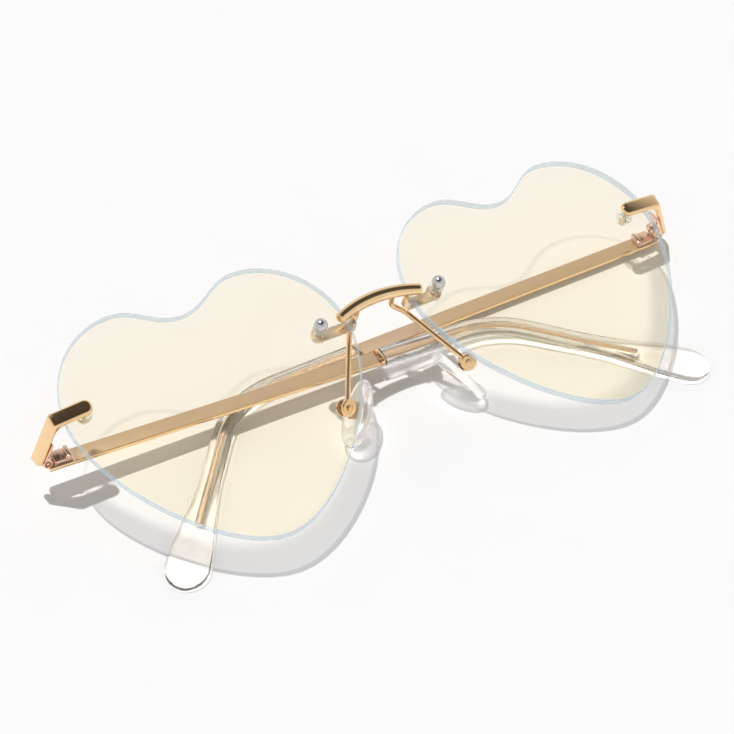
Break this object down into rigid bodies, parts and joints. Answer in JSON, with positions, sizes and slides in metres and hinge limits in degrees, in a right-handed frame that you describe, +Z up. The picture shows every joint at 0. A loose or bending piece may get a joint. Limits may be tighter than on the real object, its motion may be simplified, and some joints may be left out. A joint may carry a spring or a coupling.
{
  "type": "heart-shaped eyeglasses",
  "caption": "Rimless eyeglasses with flat tinted heart lenses, an arched gold bridge, clear nose pads and folding gold temples with clear tips.",
  "frame": {"origin": "on the table, under the middle of the part's box, with the temples folded", "axes": "+X along the frame from one hinge to the other, +Y from the lens points to the lens lobes, +Z up from the table"},
  "size_m": [0.1534, 0.0576, 0.0233],
  "materials": {
    "lens": "pale yellow tinted clear plastic, polished",
    "gold": "polished gold plate",
    "satin_gold": "satin gold plate",
    "dark_gold": "dull gold plate",
    "chrome": "bright chrome",
    "clear": "clear plastic, polished"
  },
  "bodies": {
    "front": {"bridge": "gold", "left_lens": "lens", "right_lens": "lens", "left_bridge_lug": "gold", "right_bridge_lug": "gold", "left_bridge_screw": "gold", "right_bridge_screw": "gold", "left_bridge_nut": "chrome", "right_bridge_nut": "chrome", "left_bridge_washer": "clear", "right_bridge_washer": "clear", "left_end_post": "gold", "right_end_post": "gold", "left_end_bush": "clear", "right_end_bush": "clear", "left_end_piece": "gold", "right_end_piece": "gold", "left_pad_arm": "gold", "right_pad_arm": "gold", "left_pad_screw": "gold", "right_pad_screw": "gold", "left_hinge_block": "gold", "right_hinge_block": "gold", "left_hinge_screw": "gold", "right_hinge_screw": "gold"},
    "left_temple": {"left_hinge_leaf": "gold", "left_temple_bar": "satin_gold", "left_tip_collar": "gold", "left_temple_tip": "clear"},
    "right_temple": {"right_hinge_leaf": "gold", "right_temple_bar": "satin_gold", "right_tip_collar": "gold", "right_temple_tip": "clear"},
    "left_pad": {"left_nose_pad": "clear", "left_pad_mount": "dark_gold"},
    "right_pad": {"right_nose_pad": "clear", "right_pad_mount": "dark_gold"}
  },
  "joints": [
    {"name": "left_temple_fold", "type": "hinge", "parent": "front", "child": "left_temple", "pos_m": [-0.07407, 0.01138, 0.0084], "axis": [0.0558, 0.9984, -0.0019], "range_deg": [0, 92.8]},
    {"name": "right_temple_fold", "type": "hinge", "parent": "front", "child": "right_temple", "pos_m": [0.07405, 0.01138, 0.00323], "axis": [-0.0157, -0.9999, 0.0005], "range_deg": [0, 96]},
    {"name": "left_pad_rock", "type": "hinge", "parent": "front", "child": "left_pad", "pos_m": [-0.0145, -0.00536, 0.00857], "axis": [0.2541, -0.7678, 0.5881], "range_deg": [-6, 6]},
    {"name": "right_pad_rock", "type": "hinge", "parent": "front", "child": "right_pad", "pos_m": [0.01464, -0.00536, 0.00755], "axis": [0.2125, 0.7678, -0.6044], "range_deg": [-6, 6]}
  ],
  "couplings": [
    {"joint": "left_temple_fold", "follows": "right_temple_fold", "ratio": 0.86}
  ]
}
